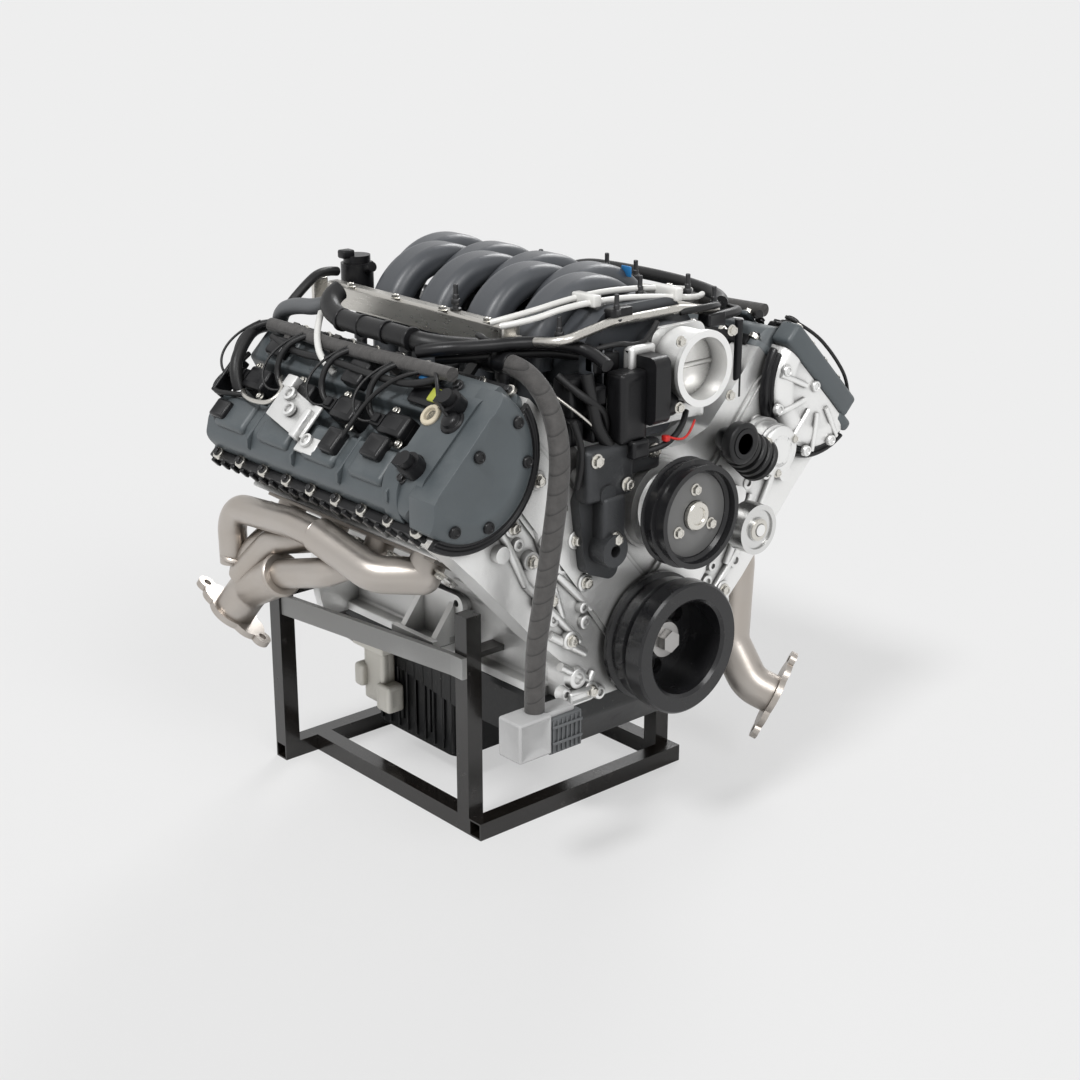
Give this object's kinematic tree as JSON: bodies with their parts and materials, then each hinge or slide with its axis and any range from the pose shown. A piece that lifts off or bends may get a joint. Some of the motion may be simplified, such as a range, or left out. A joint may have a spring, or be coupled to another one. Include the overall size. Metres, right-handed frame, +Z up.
{
  "type": "complete v8 engine",
  "caption": "Double-overhead-cam vee engine with intake, exhaust, front drive, internal crank train and hanging harness, on a square-tube shipping stand.",
  "frame": {"origin": "crankshaft axis at the rear face of the flexplate, where the torque converter bolts on", "axes": "+Y out of the rear along the crankshaft, -Y to the front pulleys, +Z up, +X to the left cylinder bank"},
  "size_m": [0.7665, 0.6353, 0.76],
  "materials": {
    "stand_steel": "gloss brown-black paint",
    "bar_grey": "satin grey paint",
    "cast_aluminium": "bright cast",
    "cover_plastic": "moulded satin",
    "intake_plastic": "moulded satin",
    "black_plastic": "moulded",
    "connector_plastic": "moulded",
    "pan_black": "satin black",
    "bracket_dark": "dark cast",
    "stainless": "satin stainless tube",
    "rail_steel": "brushed",
    "forged_steel": "machined forging",
    "piston_aluminium": "machined",
    "pulley_black": "satin black",
    "idler_bright": "turned",
    "bright_steel": "turned",
    "guide_nylon": "moulded",
    "filter_paint": "gloss white",
    "injector_body": "moulded",
    "tape": "cloth tape"
  },
  "bodies": {
    "engine": {"accessory_bracket": "bracket_dark", "cam_caps": "cast_aluminium", "cam_cover_left": "cover_plastic", "cam_cover_right": "cover_plastic", "cam_solenoids": "black_plastic", "chain_guides": "guide_nylon", "connecting_rods": "forged_steel", "coolant_outlet": "black_plastic", "cylinder_head_left": "cast_aluminium", "cylinder_head_right": "cast_aluminium", "engine_block": "cast_aluminium", "engine_looms": "tape", "engine_mounts": "cast_aluminium", "exhaust_manifold_left": "stainless", "exhaust_manifold_right": "stainless", "front_cover": "cast_aluminium", "fuel_crossover": "rail_steel", "fuel_rails": "rail_steel", "harness_clip": "black_plastic", "harness_connector": "connector_plastic", "harness_cord": "tape", "head_gaskets": "bright_steel", "idler_bracket": "cast_aluminium", "ignition_coils": "black_plastic", "injectors": "injector_body", "intake_manifold": "intake_plastic", "main_caps": "forged_steel", "oil_filter": "filter_paint", "oil_pan": "pan_black", "oil_pump": "cast_aluminium", "pistons": "piston_aluminium", "rear_seal_carrier": "cast_aluminium", "separator_can": "black_plastic", "spark_plugs": "bright_steel", "stand_brackets": "stand_steel", "stand_front_posts": "stand_steel", "stand_front_rail": "stand_steel", "stand_rear_posts": "stand_steel", "stand_rear_rail": "stand_steel", "stand_side_rails": "stand_steel", "stand_upper_bars": "bar_grey", "thermostat_housing": "cast_aluminium", "throttle_body": "cast_aluminium", "throttle_motor": "black_plastic", "timing_chains": "forged_steel", "valves": "forged_steel", "water_pump": "cast_aluminium"},
    "crank": {"crankshaft": "forged_steel", "crank_sprocket": "forged_steel", "damper": "pulley_black", "damper_bolt": "forged_steel", "flexplate": "forged_steel"},
    "intake_cam_left_body": {"intake_cam_left": "forged_steel"},
    "intake_cam_right_body": {"intake_cam_right": "forged_steel"},
    "exhaust_cam_left_body": {"exhaust_cam_left": "forged_steel"},
    "exhaust_cam_right_body": {"exhaust_cam_right": "forged_steel"},
    "pump_rotor": {"water_pump_pulley": "pulley_black"},
    "idler": {"idler_pulley": "idler_bright"},
    "throttle": {"throttle_plate": "bright_steel"},
    "oil_cap": {"oil_filler_cap": "black_plastic"}
  },
  "joints": [
    {"name": "crank_spin", "type": "hinge", "parent": "engine", "child": "crank", "pos_m": [0, 0, 0], "axis": [0, 1, 0], "continuous": true, "deforming": ["pistons", "connecting_rods", "valves", "timing_chains"]},
    {"name": "intake_cam_left_spin", "type": "hinge", "parent": "engine", "child": "intake_cam_left_body", "pos_m": [0.23122, -0.24, 0.29486], "axis": [0, 1, 0], "continuous": true},
    {"name": "intake_cam_right_spin", "type": "hinge", "parent": "engine", "child": "intake_cam_right_body", "pos_m": [-0.23122, -0.24, 0.29486], "axis": [0, 1, 0], "continuous": true},
    {"name": "exhaust_cam_left_spin", "type": "hinge", "parent": "engine", "child": "exhaust_cam_left_body", "pos_m": [0.29486, -0.24, 0.23122], "axis": [0, 1, 0], "continuous": true},
    {"name": "exhaust_cam_right_spin", "type": "hinge", "parent": "engine", "child": "exhaust_cam_right_body", "pos_m": [-0.29486, -0.24, 0.23122], "axis": [0, 1, 0], "continuous": true},
    {"name": "pump_spin", "type": "hinge", "parent": "engine", "child": "pump_rotor", "pos_m": [0.004, -0.59, 0.182], "axis": [0, 1, 0], "continuous": true},
    {"name": "idler_spin", "type": "hinge", "parent": "engine", "child": "idler", "pos_m": [0.128, -0.575, 0.134], "axis": [0, 1, 0], "continuous": true},
    {"name": "throttle_turn", "type": "hinge", "parent": "engine", "child": "throttle", "pos_m": [0.034, -0.542, 0.364], "axis": [1, 0, 0], "range_deg": [0, 84], "stiffness_Nm_per_rad": 0.02},
    {"name": "oil_cap_turn", "type": "hinge", "parent": "engine", "child": "oil_cap", "pos_m": [0.35638, -0.3, 0.28001], "axis": [0.7071, 0, 0.7071], "range_deg": [0, 90]}
  ],
  "couplings": [
    {"joint": "intake_cam_left_spin", "follows": "crank_spin", "ratio": 0.5},
    {"joint": "intake_cam_right_spin", "follows": "crank_spin", "ratio": 0.5},
    {"joint": "exhaust_cam_left_spin", "follows": "crank_spin", "ratio": 0.5},
    {"joint": "exhaust_cam_right_spin", "follows": "crank_spin", "ratio": 0.5}
  ]
}
